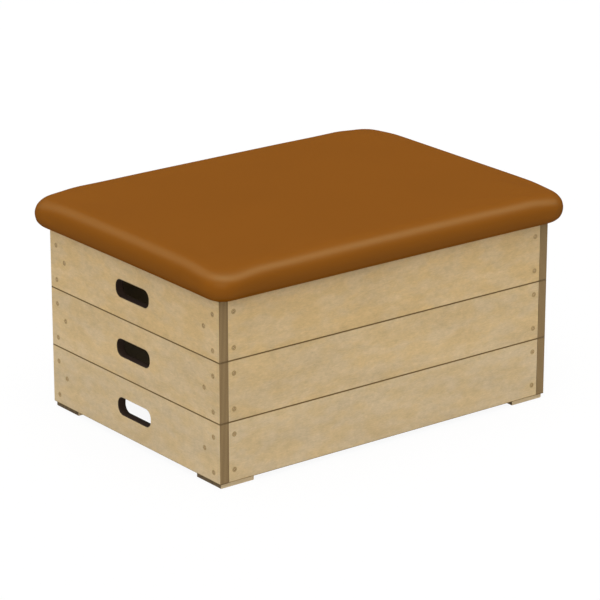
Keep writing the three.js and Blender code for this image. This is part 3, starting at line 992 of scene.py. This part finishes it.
AMBIENT = 0.42
FLOOR_GLOW = 1.082
FLOOR_SHARE = 0.14
FLOOR_TONE = rgb(0.46, 0.46, 0.46)
FLOOR_ROUGHNESS = 0.9
FLOOR_SIZE = 60.0
FLOOR_GAP = 0.0002
LAMP_DISTANCE = 4.0
LAMPS = (
    # name, direction towards the lamp, strength, angular size in degrees
    ("lamp_front", (-0.66, -0.66, 0.36), 1.49, 50.0),
    ("lamp_back", (0.66, 0.66, 0.36), 0.50, 60.0),
    ("lamp_top", (-0.10, -0.15, 0.98), 1.67, 60.0),
)
# A curved row of strip lamps, which only the vinyl's shine picks up: for each, the way that the
# pad's rounded edge faces where the lamp glints on it, in degrees from the front and from level,
# and its strength
GLINTS = (
    (-8, 40, 1.05),
    (10, 41, 1.05),
    (28, 42, 1.05),
    (46, 44, 1.00),
    (64, 46, 0.85),
    (82, 48, 0.60),
    (98, 48, 0.60),
)
GLINT_SIZE = 38.0

# The camera: degrees round from the front and above level, then how far it stands from the
# middle of the box's foot, and how far it is moved to its right and up from there
CAMERA_AROUND, CAMERA_ABOVE = 37.5, 18.9
CAMERA_DISTANCE, CAMERA_RIGHT, CAMERA_UP = 7.750, 0.0006, 0.241
CAMERA_LENS, CAMERA_SENSOR = 186.5, 36.0
CAMERA_NEAREST, CAMERA_FARTHEST = 0.1, 100.0


def facing(around, above):
    """The direction that is so many degrees round from the front, clockwise, and above level."""
    a, b = math.radians(around), math.radians(above)
    return Vector((-math.sin(a) * math.cos(b), -math.cos(a) * math.cos(b), math.sin(b)))


def seen_directly(graph):
    """1 on rays that show a surface: from the camera, a mirror or glass."""
    kinds = ("Is Camera Ray", "Is Glossy Ray", "Is Transmission Ray")
    camera, mirror, glass = graph.node("ShaderNodeLightPath", out=kinds)
    return camera.most(mirror).most(glass)


def lay_floor():
    """A pale floor that shows from above only, so that the box can be seen from underneath."""
    half = FLOOR_SIZE / 2
    corners = [(-half, -half), (half, -half), (half, half), (-half, half)]
    mesh = bpy.data.meshes.new("floor")
    mesh.from_pydata([(x, y, -FLOOR_GAP) for x, y in corners], [], [(0, 1, 2, 3)])
    finish = Finish("studio_floor")
    finish.finished(Base_Color=FLOOR_TONE, Roughness=FLOOR_ROUGHNESS, Specular_IOR_Level=0.0)
    white = {"Color": WHITE, "Strength": FLOOR_GLOW}
    glow = finish.node("ShaderNodeEmission", sockets=white)
    pale = finish.mix_shaders(FLOOR_SHARE, glow, finish.body)
    above = finish.mix_shaders(seen_directly(finish), finish.body, pale)
    below = finish.node("ShaderNodeNewGeometry", out="Backfacing")
    clear = finish.node("ShaderNodeBsdfTransparent")
    mesh.materials.append(finish.shown_as(finish.mix_shaders(below, above, clear)))
    add_object("floor", mesh)


def hang_lamp(name, direction, strength, size):
    data = bpy.data.lights.new(name, "SUN")
    data.energy, data.angle = strength, math.radians(size)
    lamp = add_object(name, data)
    lamp.rotation_mode = "QUATERNION"
    lamp.rotation_quaternion = Vector(direction).to_track_quat("Z", "Y")
    lamp.location = Vector(direction) * LAMP_DISTANCE
    return lamp


def hang_lamps():
    for name, direction, strength, size in LAMPS:
        hang_lamp(name, direction, strength, size).visible_glossy = False
    to_camera = facing(CAMERA_AROUND, CAMERA_ABOVE)
    for number, (around, above, strength) in enumerate(GLINTS):
        edge = facing(around, above)
        mirrored = edge * (2 * edge.dot(to_camera)) - to_camera
        lamp = hang_lamp(f"lamp_strip_{number}", mirrored, strength, GLINT_SIZE)
        lamp.visible_diffuse = False


def light_world():
    """Even light from all round, in front of a white background."""
    world = bpy.data.worlds.new("studio")
    world.use_nodes = True
    graph = Graph(world.node_tree)
    background = world.node_tree.nodes["Background"]
    graph.feed(background.inputs["Color"], WHITE)
    strength = seen_directly(graph) * (1.0 - AMBIENT) + AMBIENT
    graph.feed(background.inputs["Strength"], strength)
    bpy.context.scene.world = world


def place_camera():
    back = facing(CAMERA_AROUND, CAMERA_ABOVE)
    right = facing(CAMERA_AROUND - 90.0, 0.0)
    up = back.cross(right)
    place = back * CAMERA_DISTANCE + right * CAMERA_RIGHT + up * CAMERA_UP
    place.z += SECTION_BASE
    data = bpy.data.cameras.new("camera")
    data.lens, data.sensor_width = CAMERA_LENS, CAMERA_SENSOR
    data.clip_start, data.clip_end = CAMERA_NEAREST, CAMERA_FARTHEST
    camera = add_object("camera", data)
    turn = Matrix((right, up, back)).transposed().to_4x4()
    camera.matrix_world = Matrix.Translation(place) @ turn
    bpy.context.scene.camera = camera


place_camera()
lay_floor()
hang_lamps()
light_world()
bpy.context.scene.view_settings.view_transform = "Standard"
dress_wood()
screw_steel = zinc_steel()
screws = ScrewTree().tree
for number, section in enumerate(SECTIONS):
    drive_screws(section, screws, screw_steel, FIRST_TURN_SEED + number)
make_pad()
